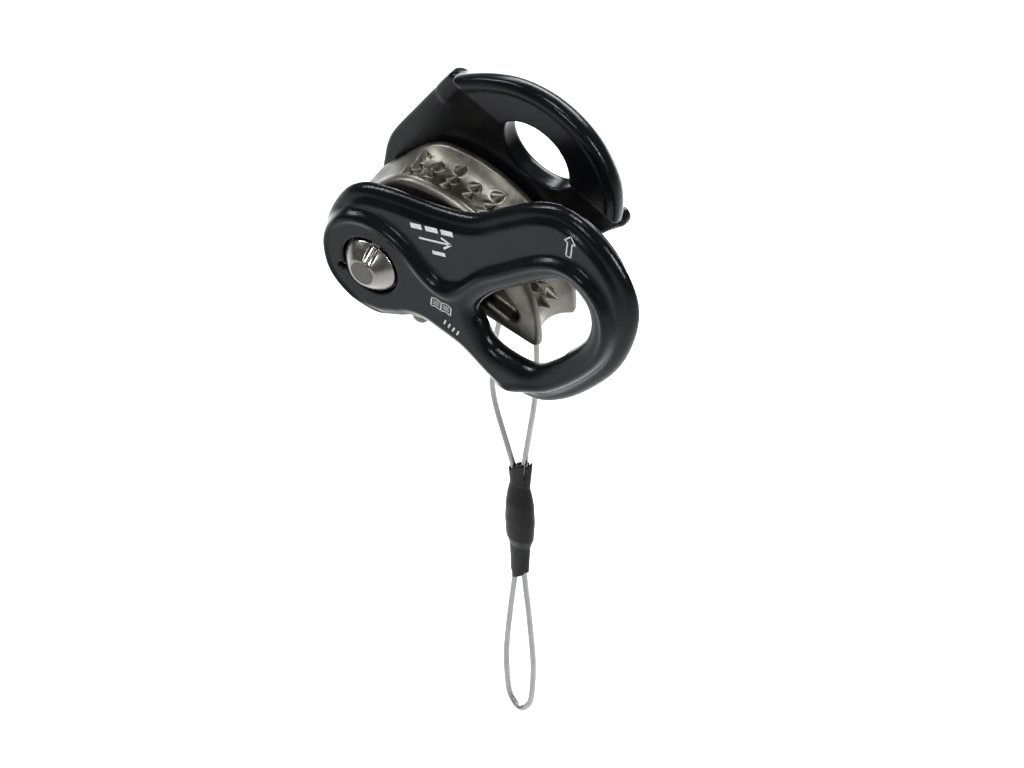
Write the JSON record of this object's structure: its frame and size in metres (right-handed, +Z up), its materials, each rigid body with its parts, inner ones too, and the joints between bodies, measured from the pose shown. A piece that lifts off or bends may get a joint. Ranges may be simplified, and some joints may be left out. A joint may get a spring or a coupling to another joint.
{
  "type": "toothed-cam rope clamp",
  "caption": "Handle-less toothed-cam rope clamp: two swinging black side plates with karabiner eyelets, a sprung steel cam on one axle and a crimped steel pull cable.",
  "frame": {"origin": "middle of the front plate's karabiner eyelet, midway between the two side plates", "axes": "+Y runs along the axle from the domed head to the rear plate; +Z is up; the pull cable hangs along -Z and the cam tip points along +X"},
  "size_m": [0.0686, 0.0274, 0.1457],
  "materials": {
    "black_anodised": "satin black anodised forging",
    "stainless": "turned stainless steel",
    "cam_steel": "blasted dark olive-grey casting",
    "bronze": "plain bearing bronze",
    "spring_steel": "drawn spring wire",
    "wire_rope": "stranded stainless wire",
    "crimp_alloy": "pressed alloy",
    "shrink_tube": "satin black heat-shrink tube"
  },
  "bodies": {
    "frame": {"front_plate": "black_anodised", "axle": "stainless", "axle_collar": "stainless", "front_washer": "stainless", "rear_washer": "stainless", "cam_spring": "spring_steel"},
    "rear_cheek": {"rear_plate": "black_anodised"},
    "cam_body": {"cam": "cam_steel", "cam_bush": "bronze"},
    "pull_cable": {"cable_yoke": "wire_rope", "cable_loop": "wire_rope", "crimp_ferrule": "crimp_alloy", "shrink_sleeve": "shrink_tube"}
  },
  "joints": [
    {"name": "plate_swing", "type": "hinge", "parent": "frame", "child": "rear_cheek", "pos_m": [-0.036, 0, -0.007], "axis": [0, 1, 0], "range_deg": [-60, 37]},
    {"name": "cam_pivot", "type": "hinge", "parent": "frame", "child": "cam_body", "pos_m": [-0.036, 0, -0.007], "axis": [0, 1, 0], "range_deg": [0, 32], "stiffness_Nm_per_rad": 0.06, "springref_deg": -68.75, "deforming": ["cam_spring"]},
    {"name": "pull_loop_swing", "type": "hinge", "parent": "cam_body", "child": "pull_cable", "pos_m": [-0.0126, 0, -0.0084], "axis": [0, 1, 0], "range_deg": [-40, 40], "deforming": ["cable_yoke"]}
  ]
}
